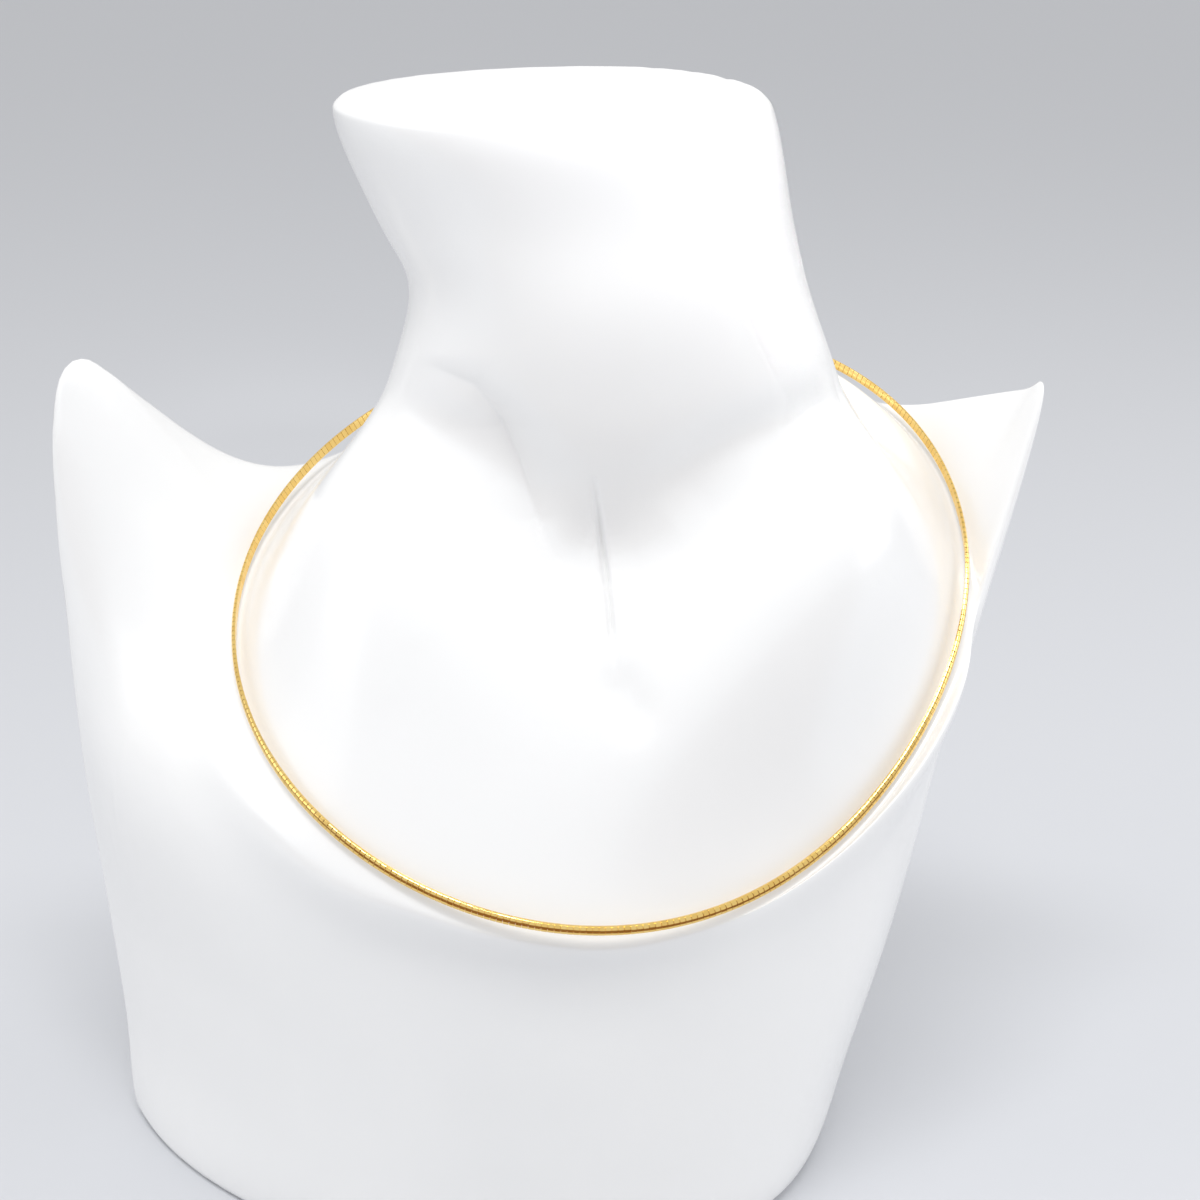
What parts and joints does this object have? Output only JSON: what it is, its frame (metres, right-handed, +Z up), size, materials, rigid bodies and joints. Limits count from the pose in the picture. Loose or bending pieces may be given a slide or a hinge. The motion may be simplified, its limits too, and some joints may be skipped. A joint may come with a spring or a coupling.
{
  "type": "omega necklace on neck bust",
  "caption": "Smooth flexible omega necklace of narrow domed plates in gold, closed by a plain clasp at the nape, on a glossy white neck bust with raised shoulder tips and a flat foot.",
  "frame": {"origin": "middle of the whole object's plan, on the surface that the bust stands on", "axes": "+Z up, front of the neck and chest towards -Y, +X to the right as seen from the front"},
  "size_m": [0.1818, 0.1124, 0.2],
  "materials": {
    "white_resin": "glossy white cast resin",
    "gold": "polished gold"
  },
  "bodies": {
    "root": {"neck_bust": "white_resin", "omega_chain": "gold", "clasp": "gold"}
  },
  "joints": []
}
